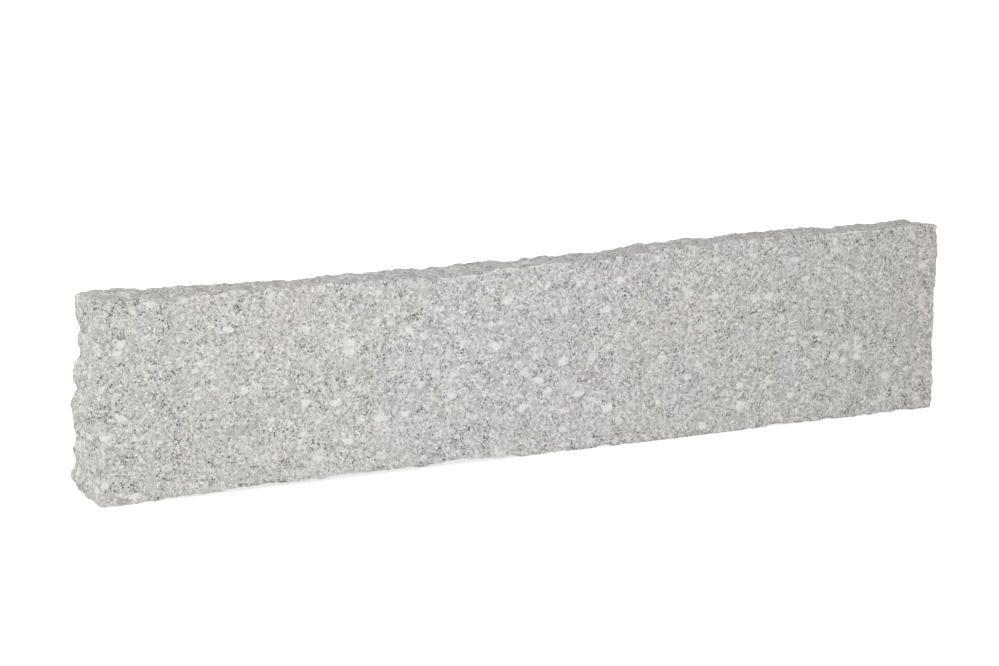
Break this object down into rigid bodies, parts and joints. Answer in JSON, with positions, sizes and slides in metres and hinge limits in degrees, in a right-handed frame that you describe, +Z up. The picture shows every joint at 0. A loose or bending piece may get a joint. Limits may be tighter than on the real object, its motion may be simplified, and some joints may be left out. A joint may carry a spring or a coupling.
{
  "type": "granite kerb stone",
  "caption": "Straight granite kerb with two sawn broad faces and split top, base and ends, standing on its long narrow edge.",
  "frame": {"origin": "middle of the base, at the level of the high spots that the kerb stands on", "axes": "+X along the kerb, +Z up, -Y out of the sawn show face"},
  "size_m": [1, 0.05, 0.2],
  "materials": {
    "granite": "light grey granite, broad faces sawn, top, base and ends split"
  },
  "bodies": {
    "root": {"kerb_stone": "granite"}
  },
  "joints": []
}
